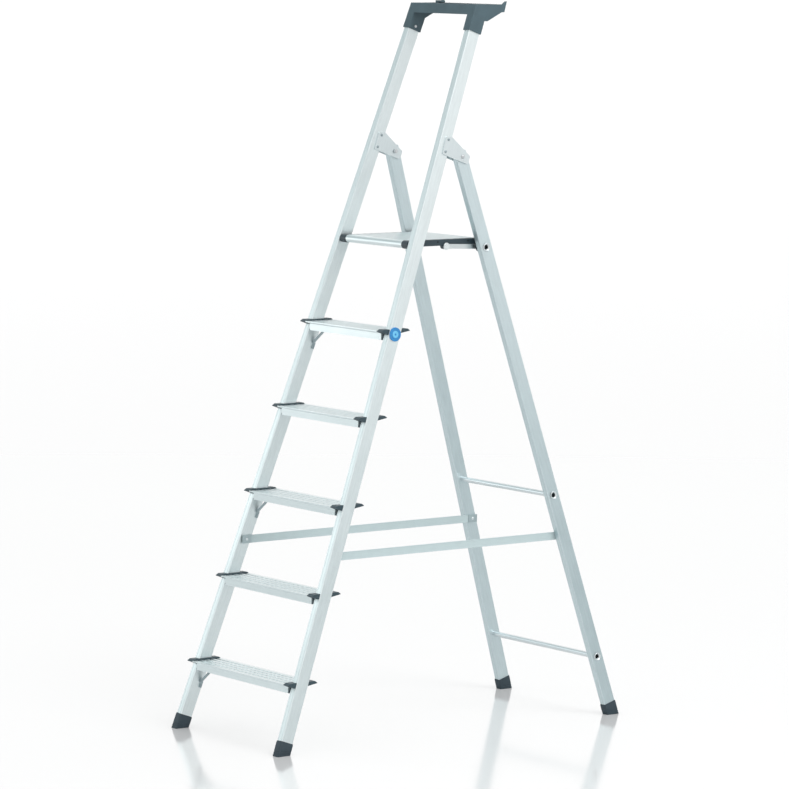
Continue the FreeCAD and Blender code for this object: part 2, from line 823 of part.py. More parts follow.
def build_platform_rail():
    """Plastic side rail with its pivot boss, link lug and saddle over the top rung."""
    y0, z0 = roll_centre()
    pivot_y, pivot_z = platform_pivot()
    rung_at_y, rung_at_z = top_rung()
    link_y, link_z = link_pivot()
    x0 = platform_half_width
    x1 = rail_half_width
    top = platform_top - rail_below_deck
    rear = rung_at_y + rung_radius + rail_over_rung
    boss_end = platform_inner_x() - rail_boss_gap
    bar = box(x0, x1, y0, rear, top - rail_height, top)
    front = capsule(rail_boss_radius, x0, boss_end, (y0, z0), (pivot_y, pivot_z),
                    rail_pivot_radius)
    lug = cylinder(rail_lug_radius, x0, x1, link_y, link_z)
    lip = box(x0, x1, rung_at_y + rung_radius + seat_clearance, rear,
              rung_at_z - rail_lip_below, top - rail_height + overshoot)
    rail = fuse_all([bar, front, lug, lip])
    seat = cylinder(rung_radius + seat_clearance, 0, far, rung_at_y, rung_at_z)
    pin = cylinder(platform_pin_radius + running_clearance, platform_pin_inner_x(), far,
                   pivot_y, pivot_z)
    rail = cut_all(rail, [seat, pin])
    return cut_all(rail, [rail_screw_hole(y) for y in rail_screw_ys()])


def rail_screw_ys():
    y0, z0 = roll_centre()
    return [y0 + behind for behind in rail_screw_fronts] + [top_rung()[0] - rail_screw_rear]


def rail_screw_hole(y):
    z = platform_top - platform_thickness / 2
    return cylinder(rail_screw_radius, 0, far, y, z)


def build_rail_screw(y):
    """Screw through the rail into the end of the deck, its head sunk flush."""
    z = platform_top - platform_thickness / 2
    return cylinder(rail_screw_radius, platform_half_width, rail_half_width, y, z)


def build_platform_pin():
    y, z = platform_pivot()
    inner_wall = front_outer_x(platform_pivot_up()) - front_stile_width + stile_wall
    start = inner_wall + taper_clearance * platform_pin_reach
    head = cylinder(platform_pin_radius + platform_pin_head, start,
                    start + platform_pin_head_height, y, z)
    pin = cylinder(platform_pin_radius, platform_pin_inner_x() + overshoot, start, y, z)
    return fuse_all([pin, head])


# ---- links from the platform to the top rung ----------------------------------------

def link_x():
    start = rail_half_width + link_gap
    return (start, start + link_thickness)


def build_link_bar():
    x0, x1 = link_x()
    front = link_pivot()
    rung = top_rung()
    bar = capsule(link_end_radius, x0, x1, front, rung)
    end = cylinder(link_rung_end_radius, x0, x1, rung[0], rung[1])
    bar = fuse_all([bar, end])
    return bar.cut(cylinder(rung_radius + running_clearance, 0, far, rung[0], rung[1]))


def build_link_disc():
    x0, x1 = link_x()
    y, z = link_pivot()
    return Part.makeCone(link_disc_radius, link_disc_radius - link_disc_taper, link_disc_height,
                         FreeCAD.Vector(x1, y, z), FreeCAD.Vector(1, 0, 0))


def build_link_eye():
    x0, x1 = link_x()
    y, z = top_rung()
    eye = cylinder(link_eye_radius, x1, x1 + link_eye_width, y, z)
    return eye.cut(cylinder(rung_radius + running_clearance, 0, far, y, z))


# ---- straps -------------------------------------------------------------------------

def strap_front_place():
    up = (strap_height + strap_inset * sin_front) / cos_front
    return (up, strap_inset)


def strap_rear_place():
    return (rear_up_at(strap_height, strap_inset), strap_inset)


def strap_front_point():
    up, back = strap_front_place()
    return front_point(up, back)


def strap_rear_point():
    return (rear_y_at(strap_height, strap_inset), strap_height)


def strap_front_inner_x():
    return front_outer_x(strap_front_place()[0]) - front_stile_width


def strap_rear_inner_x():
    return rear_outer_x(strap_rear_place()[0]) - rear_stile_width


def strap_rivet_hole(point, inner_x):
    return cylinder(strap_rivet_radius, inner_x - stile_wall, inner_x + 2 * stile_wall, *point)


def strap_clearance_x(outer, width, taper):
    """Inner face, less what the taper takes over the height of the strap."""
    return outer - width - taper * strap_width


def strap_x():
    """The strap lies flat just inside both stiles."""
    front_up, back = strap_front_place()
    rear_up, back = strap_rear_place()
    front = strap_clearance_x(front_outer_x(front_up), front_stile_width, front_taper)
    rear = strap_clearance_x(rear_outer_x(rear_up), rear_stile_width, rear_taper)
    return front - strap_gap, rear - strap_gap


def build_strap():
    front_x, rear_x = strap_x()
    y0, z0 = strap_front_point()
    y1, z1 = strap_rear_point()
    y0 = y0 - strap_overhang
    y1 = y1 + strap_overhang
    low = strap_height - strap_width / 2
    corners = [FreeCAD.Vector(front_x, y0, low), FreeCAD.Vector(rear_x, y1, low),
               FreeCAD.Vector(rear_x - strap_thickness, y1, low),
               FreeCAD.Vector(front_x - strap_thickness, y0, low)]
    face = Part.Face(Part.makePolygon(corners + corners[:1]))
    strap = face.extrude(FreeCAD.Vector(0, 0, strap_width))
    holes = []
    for y, z in (strap_front_point(), strap_rear_point()):
        holes.append(cylinder(strap_rivet_radius + strap_gap, 0, far, y, z))
    return cut_all(strap, holes)


def strap_x_at(y):
    front_x, rear_x = strap_x()
    y0 = strap_front_point()[0] - strap_overhang
    y1 = strap_rear_point()[0] + strap_overhang
    return front_x + (rear_x - front_x) * (y - y0) / (y1 - y0)


def build_strap_end(point, stile_inner):
    """Clamp plate and rivet holding one end of a strap against a stile."""
    y, z = point
    x = strap_x_at(y) - strap_thickness - strap_gap
    drift = abs(strap_x_at(y + clamp_length) - strap_x_at(y)) + running_clearance
    plate = box(x - drift - clamp_thickness, x - drift, y - clamp_length / 2, y + clamp_length / 2,
                z - strap_width / 2, z + strap_width / 2)
    plate = plate.cut(cylinder(strap_rivet_radius, 0, far, y, z))
    head_x = x - drift - clamp_thickness
    shank = cylinder(strap_rivet_radius, head_x, stile_inner + stile_wall + strap_rivet_tail, y, z)
    head = Part.makeCone(strap_rivet_head_radius, strap_rivet_head_radius * rivet_head_taper,
                         strap_rivet_head_height, FreeCAD.Vector(head_x, y, z),
                         FreeCAD.Vector(-1, 0, 0))
    return plate, fuse_all([shank, head])


# ---- tool tray ----------------------------------------------------------------------

def tray_screw_place():
    return (tray_socket_start + tray_screw_up, stile_depth / 2)


def tray_front_y(height):
    """Front of the sockets at this height, just ahead of the stiles."""
    return front_point((height - tray_wall * sin_front) / cos_front, -tray_wall)[0]


def tray_half_width():
    return front_outer_x(tray_top / cos_front) + tray_wall


def tray_pockets():
    """Small pocket between the stiles and a wide one behind them, both open upward."""
    half = tray_half_width()
    low = tray_top - tray_plate_height + tray_floor
    front = tray_front_y(tray_top) + tray_bar_depth
    back = tray_rear_y - tray_wall
    split = front + tray_front_pocket
    inner = half - front_stile_width - tray_bar_depth
    outer = half - 2 * tray_gusset_thickness
    high = tray_top + overshoot
    return [box(-inner, inner, front, split, low, high),
            box(-outer, outer, split + tray_divider, back, low, high)]


def build_tray_side():
    """Socket over the stile, the gusset behind it and the upturned rear corner."""
    half = tray_half_width()
    under = tray_top - tray_plate_height
    socket = placed(box(-tray_wall, front_stile_width + tray_wall, tray_socket_start,
                        front_stile_end + far, -tray_wall, stile_depth + tray_wall), front_side)
    socket = socket.cut(box(0, far, 0, hinge_up, tray_top, tray_top + 2 * far))
    low_y, low_z = front_point(tray_socket_start + tray_gusset_drop, stile_depth + tray_wall / 2)
    gusset = extrude_yz([(low_y, low_z), (low_y + tray_gusset_step, low_z),
                         (tray_rear_y - tray_gusset_step / 2, under + overshoot),
                         (low_y, under + overshoot)],
                        half - tray_gusset_thickness, half)
    horn = extrude_yz([(tray_rear_y - tray_horn_root, under), (tray_rear_y, under),
                       (tray_rear_y + tray_horn_length, tray_top + tray_horn_rise),
                       (tray_rear_y - tray_horn_tip, tray_top)],
                      half - 2 * tray_gusset_thickness, half)
    return [socket, gusset, horn]


def build_tray():
    """Tray whose two sockets slide over the tops of the front stiles."""
    half = tray_half_width()
    front_y = tray_front_y(tray_top)
    low = tray_top - tray_front_height
    plate = box(-half, half, front_y + tray_wall, tray_rear_y, tray_top - tray_plate_height,
                tray_top)
    bar = extrude_yz([(tray_front_y(low), low), (front_y, tray_top),
                      (front_y + tray_bar_depth, tray_top), (front_y + tray_bar_depth, low)],
                     -half, half)
    sides = build_tray_side()
    tab = box(-half, tray_tab_width - half, tray_rear_y - tray_tab_length, tray_rear_y,
              tray_top - tray_wall, tray_top + tray_tab_rise)
    body = fuse_all([plate, bar, tab] + sides + [mirrored(side) for side in sides])
    stile_space = placed(box(0, front_stile_width, 0, front_stile_end, 0, stile_depth), front_side)
    up, back = tray_screw_place()
    screw = local_pin(tray_screw_radius, front_stile_width - overshoot,
                      front_stile_width + tray_wall + overshoot, up, back, front_side)
    holes = [stile_space, mirrored(stile_space), screw, mirrored(screw)]
    return cut_all(body, tray_pockets() + holes).removeSplitter()


def build_tray_screw():
    up, back = tray_screw_place()
    w0 = front_stile_width - stile_wall
    w1 = front_stile_width + tray_wall
    shank = local_pin(tray_screw_radius, w0 - tray_screw_point, w1, up, back, front_side)
    head = domed_head(tray_screw_head_radius, tray_screw_head_height, w1, 1, up, back, front_side)
    return fuse_all([shank, head])


# ---- badge --------------------------------------------------------------------------

def build_badge():
    back = stile_depth / 2
    disc = local_pin(badge_radius, -badge_thickness, 0, badge_up, back, front_side)
    seat = badge_seat_depth - badge_thickness
    groove = local_pin(badge_ring_radius, -badge_thickness - overshoot, seat,
                       badge_up, back, front_side)
    disc = disc.cut(groove)
    insert = local_pin(badge_ring_radius, seat - badge_ring_height, seat,
                       badge_up, back, front_side)
    dot = local_pin(badge_dot_radius, -badge_thickness - badge_ring_height,
                    -badge_thickness, badge_up, back, front_side)
    return disc, insert.cut(dot)


# ---- the whole ladder ---------------------------------------------------------------

def build_all():
    front_stile = build_front_stile()
    add("front_stile_right", front_stile)
    add("front_stile_left", mirrored(front_stile))
    rear_stile = build_rear_stile()
    add("rear_stile_right", rear_stile)
    add("rear_stile_left", mirrored(rear_stile))

    front_foot = build_foot(front_stile_width, front_foot_height, front_stile_start, front_side)
    add("front_foot_right", front_foot)
    add("front_foot_left", mirrored(front_foot))
    rear_foot = build_foot(rear_stile_width, rear_foot_height, rear_stile_start, rear_side)
    add("rear_foot_right", rear_foot)
    add("rear_foot_left", mirrored(rear_foot))

    screws = []
    braces = []
    brace_rivets = []
    for number in range(1, tread_count + 1):
        add("tread_%d" % number, build_tread(number))
        add("tread_caps_%d" % number, both_sides(build_tread_cap(number)))
        for place in screw_places(number):
            screw = build_tread_screw(number, place)
            screws += [screw, mirrored(screw)]
        if number in brace_treads:
            brace = build_brace(number)
            braces += [brace, mirrored(brace)]
            for rivet in build_brace_rivets(number):
                brace_rivets += [rivet, mirrored(rivet)]
    add("tread_screws", Part.makeCompound(screws))
    add("tread_braces", Part.makeCompound(braces))
    add("brace_rivets", Part.makeCompound(brace_rivets))

    for name, height in zip(("rung_bottom", "rung_middle", "rung_top"), rung_heights):
        add(name, build_rung(height))

    outer_plate = build_hinge_plate(-hinge_plate_thickness)
    inner_plate = build_hinge_plate(front_stile_width)
    add("hinge_plate_outer_right", outer_plate)
    add("hinge_plate_outer_left", mirrored(outer_plate))
    add("hinge_plate_inner_right", inner_plate)
    add("hinge_plate_inner_left", mirrored(inner_plate))
    rivets = build_hinge_rivets()
    add("hinge_rivets", Part.makeCompound(rivets + [mirrored(r) for r in rivets]))
    add("hinge_bolts", both_sides(build_hinge_bolt()))
    add("hinge_nuts", both_sides(build_hinge_nut()))
    add("hinge_bushes", both_sides(build_hinge_bush()))
    washers = build_hinge_washers()
    add("hinge_washers", Part.makeCompound(washers + [mirrored(w) for w in washers]))

    add("platform_deck", build_platform_deck())
    rail = build_platform_rail()
    add("platform_rail_right", rail)
    add("platform_rail_left", mirrored(rail))
    rail_screws = []
    for y in rail_screw_ys():
        screw = build_rail_screw(y)
        rail_screws += [screw, mirrored(screw)]
    add("rail_screws", Part.makeCompound(rail_screws))
    add("platform_pins", both_sides(build_platform_pin()))

    link = build_link_bar()
    add("link_right", link)
    add("link_left", mirrored(link))
    add("link_discs", both_sides(build_link_disc()))
    add("link_eyes", both_sides(build_link_eye()))

    strap = build_strap()
    add("strap_right", strap)
    add("strap_left", mirrored(strap))
    ends = (("front", strap_front_point(), strap_front_inner_x()),
            ("rear", strap_rear_point(), strap_rear_inner_x()))
    for name, point, inner in ends:
        plate, rivet = build_strap_end(point, inner)
        add("strap_clamps_" + name, both_sides(plate))
        add("strap_rivets_" + name, both_sides(rivet))

    add("tool_tray", build_tray())
    add("tray_screws", both_sides(build_tray_screw()))
    disc, insert = build_badge()
    add("badge_disc", disc)
    add("badge_centre", insert)


def write_all():
    os.makedirs("parts", exist_ok=True)
    whole = Part.makeCompound(list(nodes.values())).BoundBox
    centre_y = (whole.YMin + whole.YMax) / 2
    for name in sorted(nodes):
        shape = nodes[name]
        shape.translate(FreeCAD.Vector(0, -centre_y, 0))
        if not shape.isValid():
            print("not valid:", name)
        shape.exportStep("parts/%s.step" % name)
    for name, (y, z) in (("rear frame hinge", (hinge_y, hinge_z)),
                         ("platform pivot", platform_pivot()),
                         ("top rung", top_rung()), ("link pivot", link_pivot())):
        print(name, "y", round(y - centre_y, 4), "z", round(z, 4))
    print(len(nodes), "nodes")


build_all()
write_all()
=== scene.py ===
import json
import math

import bmesh
import bpy
from mathutils import Matrix, Vector


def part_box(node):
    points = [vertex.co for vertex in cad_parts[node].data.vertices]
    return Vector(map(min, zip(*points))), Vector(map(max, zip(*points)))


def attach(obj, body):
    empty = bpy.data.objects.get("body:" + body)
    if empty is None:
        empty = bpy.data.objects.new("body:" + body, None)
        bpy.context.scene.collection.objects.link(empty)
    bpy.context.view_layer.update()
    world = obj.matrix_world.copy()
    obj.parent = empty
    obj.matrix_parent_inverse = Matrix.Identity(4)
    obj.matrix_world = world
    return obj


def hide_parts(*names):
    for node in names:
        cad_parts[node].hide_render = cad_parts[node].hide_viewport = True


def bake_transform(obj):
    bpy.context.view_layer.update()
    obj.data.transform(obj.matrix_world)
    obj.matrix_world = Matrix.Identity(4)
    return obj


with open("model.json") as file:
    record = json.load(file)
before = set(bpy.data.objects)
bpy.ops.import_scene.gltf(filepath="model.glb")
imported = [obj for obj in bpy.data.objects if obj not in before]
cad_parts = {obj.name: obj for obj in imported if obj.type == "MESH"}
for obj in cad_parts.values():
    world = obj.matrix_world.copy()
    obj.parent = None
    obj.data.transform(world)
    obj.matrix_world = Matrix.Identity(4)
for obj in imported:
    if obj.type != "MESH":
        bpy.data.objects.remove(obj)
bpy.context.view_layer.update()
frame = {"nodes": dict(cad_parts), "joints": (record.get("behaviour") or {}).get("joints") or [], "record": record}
nodes = frame["nodes"]
MM = 0.001


# ---- colours and material nodes -------------------------------------------------------

def linear(hex_colour):
    """sRGB hex to the linear colour that a shader socket takes."""
    parts = [int(hex_colour[i:i + 2], 16) / 255 for i in (1, 3, 5)]
    return tuple([p / 12.92 if p <= 0.04045 else ((p + 0.055) / 1.055) ** 2.4 for p in parts] + [1])


def add_node(material, kind, settings=None, **links):
    """One shader node: settings are its properties and socket values, links are sockets fed."""
    node = material.node_tree.nodes.new(kind)
    for key, value in (settings or {}).items():
        if isinstance(key, str) and hasattr(node, key):
            setattr(node, key, value)
        else:
            node.inputs[key].default_value = value
    for socket, source in links.items():
        material.node_tree.links.new(source, node.inputs[socket.replace("_", " ")])
    return node


def new_material(name, **settings):
    """A material and its shader, with the shader's own sockets set."""
    material = bpy.data.materials.new(name)
    material.use_nodes = True
    shader = material.node_tree.nodes["Principled BSDF"]
    for key, value in settings.items():
        shader.inputs[key.replace("_", " ")].default_value = value
    return material, shader


def feed(material, source, node, socket):
    material.node_tree.links.new(source, node.inputs[socket])


def toned(colour, share):
    """The same colour, lighter or darker by this share."""
    return [min(1, value * share) for value in colour[:3]] + [1]


def set_ramp(ramp, first, last):
    """Ends of a colour ramp, each a place on it and a colour."""
    for element, (position, colour) in zip(ramp.color_ramp.elements, (first, last)):
        element.position = position
        element.color = colour


def along(lean, length, width):
    """Rotation and sizes of a pattern stretched along a stile that leans by this angle."""
    return {"vector_type": "TEXTURE", "Rotation": (-math.radians(lean), 0, 0),
            "Scale": (width * MM, width * MM, length * MM)}


def across(length, width):
    """Sizes of a pattern stretched from side to side."""
    return {"vector_type": "TEXTURE", "Scale": (length * MM, width * MM, width * MM)}


# ---- materials ------------------------------------------------------------------------

LINE_TONE = 0.934               # a die line is this dark against the metal beside it


def anodised(name, hex_colour, roughness, lay):
    """Extruded aluminium, clear anodised: a satin metal with die lines along its length.
    Real die lines are about 0.2 mm apart; they are drawn at the sizes in lay, to show."""
    base = linear(hex_colour)
    material, shader = new_material(name, Metallic=1.0, Roughness=roughness, Base_Color=base)
    place = add_node(material, "ShaderNodeTexCoord")
    mapped = add_node(material, "ShaderNodeMapping", lay, Vector=place.outputs["Object"])
    streak = add_node(material, "ShaderNodeTexNoise", {"Scale": 1.0, "Detail": 3.0},
                      Vector=mapped.outputs["Vector"])
    cloud = add_node(material, "ShaderNodeTexNoise", {"Scale": 7.0, "Detail": 2.0},
                     Vector=place.outputs["Object"])
    tint = add_node(material, "ShaderNodeValToRGB", Fac=streak.outputs["Fac"])
    set_ramp(tint, (0.35, toned(base, LINE_TONE)), (0.65, base))
    feed(material, tint.outputs["Color"], shader, "Base Color")
    mixed = add_node(material, "ShaderNodeMath", {"operation": "MULTIPLY_ADD", 1: 0.5})
    feed(material, streak.outputs["Fac"], mixed, 0)
    feed(material, cloud.outputs["Fac"], mixed, 2)
    rough = add_node(material, "ShaderNodeMapRange",
                     {"From Min": 0.45, "From Max": 1.05, "To Min": roughness - 0.05,
                      "To Max": roughness + 0.07}, Value=mixed.outputs[0])
    feed(material, rough.outputs["Result"], shader, "Roughness")
    bump = add_node(material, "ShaderNodeBump", {"Strength": 0.12, "Distance": 0.0004},
                    Height=streak.outputs["Fac"])
    feed(material, bump.outputs["Normal"], shader, "Normal")
    return material


def moulded(name, hex_colour, roughness, grain, depth=0.25):
    """Injection-moulded plastic or rubber: even colour, fine spark-eroded grain, slight wear.
    Real grain is about 0.3 mm; it is drawn at the given size in millimetres, to show."""
    base = linear(hex_colour)
    material, shader = new_material(name, Roughness=roughness, Base_Color=base)
    place = add_node(material, "ShaderNodeTexCoord")
    mapped = add_node(material, "ShaderNodeMapping",
                      {"vector_type": "TEXTURE", "Scale": (grain * MM,) * 3},
                      Vector=place.outputs["Object"])
    pits = add_node(material, "ShaderNodeTexNoise", {"Scale": 1.0, "Detail": 2.0},
                    Vector=mapped.outputs["Vector"])
    cloud = add_node(material, "ShaderNodeTexNoise", {"Scale": 18.0, "Detail": 3.0},
                     Vector=place.outputs["Object"])
    tint = add_node(material, "ShaderNodeValToRGB", Fac=cloud.outputs["Fac"])
    set_ramp(tint, (0.3, toned(base, 0.88)), (0.7, toned(base, 1.1)))
    feed(material, tint.outputs["Color"], shader, "Base Color")
    rough = add_node(material, "ShaderNodeMapRange",
                     {"From Min": 0.3, "From Max": 0.7, "To Min": roughness - 0.06,
                      "To Max": roughness + 0.06}, Value=pits.outputs["Fac"])
    feed(material, rough.outputs["Result"], shader, "Roughness")
    bump = add_node(material, "ShaderNodeBump", {"Strength": depth, "Distance": 0.0004},
                    Height=pits.outputs["Fac"])
    feed(material, bump.outputs["Normal"], shader, "Normal")
    return material


def plated(name, hex_colour, roughness):
    """Pressed or turned metal, plated or bright: tumbled, so it has small soft marks."""
    base = linear(hex_colour)
    material, shader = new_material(name, Metallic=1.0, Roughness=roughness, Base_Color=base)
    place = add_node(material, "ShaderNodeTexCoord")
    marks = add_node(material, "ShaderNodeTexNoise", {"Scale": 420.0, "Detail": 3.0},
                     Vector=place.outputs["Object"])
    rough = add_node(material, "ShaderNodeMapRange",
                     {"From Min": 0.3, "From Max": 0.7, "To Min": roughness - 0.06,
                      "To Max": roughness + 0.1}, Value=marks.outputs["Fac"])
    feed(material, rough.outputs["Result"], shader, "Roughness")
    bump = add_node(material, "ShaderNodeBump", {"Strength": 0.15, "Distance": 0.0003},
                    Height=marks.outputs["Fac"])
    feed(material, bump.outputs["Normal"], shader, "Normal")
    return material


RIB_SPACING = 4.0               # millimetres from one rib of the webbing to the next
BANDS_TURN = 20                 # a wave texture of scale 1 turns this many radians in a metre


def webbing(name, hex_colour):
    """Woven polyester webbing: ribs across its width, 1.4 mm apart on the real strap and
    drawn 4 mm apart to show, with a soft sheen on the yarn."""
    base = linear(hex_colour)
    material, shader = new_material(name, Roughness=0.75, Base_Color=base,
                                    Sheen_Weight=0.25, Sheen_Roughness=0.5)
    place = add_node(material, "ShaderNodeTexCoord")
    ribs = add_node(material, "ShaderNodeTexWave",
                    {"wave_type": "BANDS", "bands_direction": "Y",
                     "Scale": 2 * math.pi / (RIB_SPACING * MM * BANDS_TURN),
                     "Distortion": 0.4, "Detail": 1.0, "Detail Scale": 2.0},
                    Vector=place.outputs["Object"])
    yarn = add_node(material, "ShaderNodeTexNoise", {"Scale": 900.0, "Detail": 2.0},
                    Vector=place.outputs["Object"])
    tint = add_node(material, "ShaderNodeValToRGB", Fac=ribs.outputs["Fac"])
    set_ramp(tint, (0.0, toned(base, 0.8)), (1.0, toned(base, 1.08)))
    feed(material, tint.outputs["Color"], shader, "Base Color")
    height = add_node(material, "ShaderNodeMath", {"operation": "MULTIPLY_ADD", 1: 0.3})
    feed(material, yarn.outputs["Fac"], height, 0)
    feed(material, ribs.outputs["Fac"], height, 2)
    bump = add_node(material, "ShaderNodeBump", {"Strength": 0.5, "Distance": 0.0004},
                    Height=height.outputs[0])
    feed(material, bump.outputs["Normal"], shader, "Normal")
    return material


FRONT_LEAN, REAR_LEAN = 19.9, -17.0     # degrees from upright, towards +Y
finishes = {
    "stile_aluminium": anodised("anodised_aluminium_front_stile", "#e9f1f2", 0.44,
                                along(FRONT_LEAN, 900, 3.0)),
    "rung_aluminium": anodised("anodised_aluminium_rung", "#d9e0e2", 0.3, across(300, 2.5)),
    "tread_aluminium": anodised("anodised_aluminium_tread", "#e6eeef", 0.36, across(900, 2.5)),
    "deck_aluminium": anodised("anodised_aluminium_deck", "#e0e8e9", 0.36, across(900, 2.5)),
    "sheet_aluminium": anodised("rolled_aluminium_plate", "#dde6e8", 0.36,
                                along(FRONT_LEAN, 60, 2.0)),
    "link_aluminium": anodised("rolled_aluminium_link", "#d8dedf", 0.32, across(2.0, 2.0)),
    "rivet_aluminium": plated("pressed_aluminium_rivet", "#97a4a8", 0.34),
    "zinc_steel": plated("zinc_plated_steel", "#c9cdcf", 0.3),
    "black_steel": plated("black_oxide_steel", "#2a2d30", 0.45),
    "cap_plastic": moulded("moulded_nylon_cap", "#33454d", 0.45, 2.0),
    "rail_plastic": moulded("moulded_nylon_rail", "#2a3a42", 0.42, 2.0),
    "foot_plastic": moulded("moulded_rubber_foot", "#2c3c45", 0.6, 2.5, 0.4),
    "tray_plastic": moulded("moulded_polypropylene_tray", "#485d65", 0.5, 2.2),
    "bearing_plastic": moulded("moulded_acetal_bush", "#d8d8d2", 0.4, 1.5),
    "badge_blue": moulded("moulded_styrene_badge_ring", "#2f86c4", 0.3, 2.0, 0.05),
    "badge_light_blue": moulded("moulded_styrene_badge_centre", "#6fc3ea", 0.3, 2.0, 0.05),
    "strap_webbing": webbing("woven_polyester_webbing", "#c2d3d5"),
}
# pieces whose metal looks different from the rest of their slot, by the start of their name
own_finishes = {
    # rear stiles: the same anodised metal as the front stiles, with a darker base colour that is painted shade for
    # the dimmer light falling on them
    "rear_stile": anodised("anodised_aluminium_rear_stile_painted_shade", "#d3e0e3", 0.42,
                           along(REAR_LEAN, 900, 3.0)),
    # tread braces: a darker grey base colour than the other aluminium pieces
    "tread_braces": anodised("darker_grey_aluminium_brace", "#a3b1b5", 0.42, across(60, 2.0)),
    "link_discs": plated("turned_aluminium_disc", "#e4eaeb", 0.3),
    "strap_rivets": plated("pressed_aluminium_strap_rivet", "#dfe6e8", 0.3),
    "strap_clamps": anodised("rolled_aluminium_clamp", "#bccacd", 0.4, across(2.0, 2.0)),
}
for part in frame["record"]["subparts"]:
    name = part["node"]
    finish = finishes[part["material_slot"]]
    for start, own_finish in own_finishes.items():
        if name.startswith(start):
            finish = own_finish
    mesh = nodes[name].data
    mesh.materials.clear()
    mesh.materials.append(finish)


# ---- edges of the metal and moulded pieces --------------------------------------------

WELD_GAP = 0.002        # millimetres, points closer than this are one
FLAT_ANGLE = 0.4        # degrees, faces that turn less than this are one face
SHARP_ANGLE = 32        # degrees, edges that turn more than this are broken


def soften(name, width):
    """Breaks the sharp edges of a carried-over piece, as deburring or a mould does."""
    node = nodes[name]
    normals = node.data.attributes.get("custom_normal")
    if normals:
        node.data.attributes.remove(normals)
    weld = node.modifiers.new("weld", "WELD")
    weld.merge_threshold = WELD_GAP * MM
    flat = node.modifiers.new("flat", "DECIMATE")
    flat.decimate_type = "DISSOLVE"
    flat.angle_limit = math.radians(FLAT_ANGLE)
    bevel = node.modifiers.new("bevel", "BEVEL")
    bevel.width = width * MM
    bevel.segments = 2
    bevel.limit_method = "ANGLE"
    bevel.angle_limit = math.radians(SHARP_ANGLE)
    bevel.harden_normals = False
    normal = node.modifiers.new("normal", "WEIGHTED_NORMAL")
    normal.keep_sharp = True
    for polygon in node.data.polygons:
        polygon.use_smooth = True


# width of the broken edge in millimetres, by the start of the piece's name
EDGES = {"front_stile": 0.4, "rear_stile": 0.4, "tool_tray": 1.0, "front_foot": 1.2,
         "rear_foot": 1.2, "tread_caps": 0.8, "platform_rail": 0.8, "hinge_rivets": 0.6,
         "brace_rivets": 0.5, "strap_rivets": 0.6, "tray_screws": 0.8, "hinge_bolts": 0.9,
         "hinge_nuts": 0.5, "tread_1": 0.35, "tread_2": 0.35, "tread_3": 0.35,
         "tread_4": 0.35, "tread_5": 0.35, "platform_deck": 0.35, "hinge_plate": 0.5,
         "badge": 0.4, "link": 0.4, "strap_clamps": 0.3, "tread_braces": 0.4, "rung": 0.4}
for name in nodes:
    for start, width in EDGES.items():
        if name.startswith(start):
            soften(name, width)
            break


# ---- shapes ---------------------------------------------------------------------------

def smooth_by_angle(mesh, degrees):
    """Smooth faces, with the edges that turn more than this kept sharp."""
    work = bmesh.new()
    work.from_mesh(mesh)
    bmesh.ops.recalc_face_normals(work, faces=work.faces)
    for face in work.faces:
        face.smooth = True
    for edge in work.edges:
        edge.smooth = len(edge.link_faces) == 2 and edge.calc_face_angle() < math.radians(degrees)
    work.to_mesh(mesh)
    work.free()


def new_piece(name, rings, material, degrees=35):
    """Skin over rings of points with the same count, closed by a face at each end."""
    mesh = bpy.data.meshes.new(name)
    work = bmesh.new()
    rows = [[work.verts.new(point) for point in ring] for ring in rings]
    count = len(rows[0])
    for here, there in zip(rows, rows[1:]):
        for step in range(count):
            after = (step + 1) % count
            work.faces.new((here[step], here[after], there[after], there[step]))
    work.faces.new(list(reversed(rows[0])))
    work.faces.new(rows[-1])
    bmesh.ops.remove_doubles(work, verts=work.verts, dist=WELD_GAP * MM)
    work.to_mesh(mesh)
    work.free()
    smooth_by_angle(mesh, degrees)
    mesh.materials.append(material)
    piece = bpy.data.objects.new(name, mesh)
    bpy.context.scene.collection.objects.link(piece)
    return piece


def settle(piece, body, slot_name, *replaced):
    """The piece rides on its body and stands for the plain one."""
    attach(piece, body)
    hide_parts(*replaced)


# ---- where the stiles stand -----------------------------------------------------------

# millimetres, as the frame has them
STILE_DEPTH = 40.0
BASE_HALF = 278.5                           # middle to the front stile's outer face, at the floor
FRONT_TAPER, REAR_TAPER = 0.0527, 0.0545    # each side draws in by this share of its length
FRONT_WIDTH, REAR_WIDTH = 24.0, 21.5
HINGE_BACK = 92.0                           # hinge bolt behind the front stile's front face
hinge = Vector(next(j for j in frame["joints"] if j["name"] == "rear_fold")["pos_m"])


def stile_axes(taper, lean):
    """Directions inward, along and through the depth of the right-hand stile."""
    angle = math.radians(lean)
    up = Vector((-taper, math.sin(angle), math.cos(angle))).normalized()
    depth = Vector((0, math.cos(angle), -math.sin(angle)))
    return up.cross(depth), up, depth


def hinge_up():
    """How far up the front stile the hinge bolt is."""
    angle = math.radians(FRONT_LEAN)
    return (hinge.z + HINGE_BACK * MM * math.sin(angle)) / math.cos(angle)


def front_origin():
    """Outer front corner of the right front stile, on the floor."""
    angle = math.radians(FRONT_LEAN)
    y = hinge.y - hinge_up() * math.sin(angle) - HINGE_BACK * MM * math.cos(angle)
    return Vector((BASE_HALF * MM, y, 0))


def rear_origin():
    """Outer front corner of the right rear stile, on the floor."""
    angle = math.radians(-REAR_LEAN)
    up = (hinge.z - STILE_DEPTH / 2 * MM * math.sin(angle)) / math.cos(angle)
    y = hinge.y + up * math.sin(angle) - STILE_DEPTH / 2 * MM * math.cos(angle)
    outer = (BASE_HALF - (FRONT_WIDTH - REAR_WIDTH) / 2) * MM
    outer += REAR_TAPER * up - FRONT_TAPER * hinge_up()
    return Vector((outer, y, 0))


# ---- feet -----------------------------------------------------------------------------

CORNER_STEPS = 4


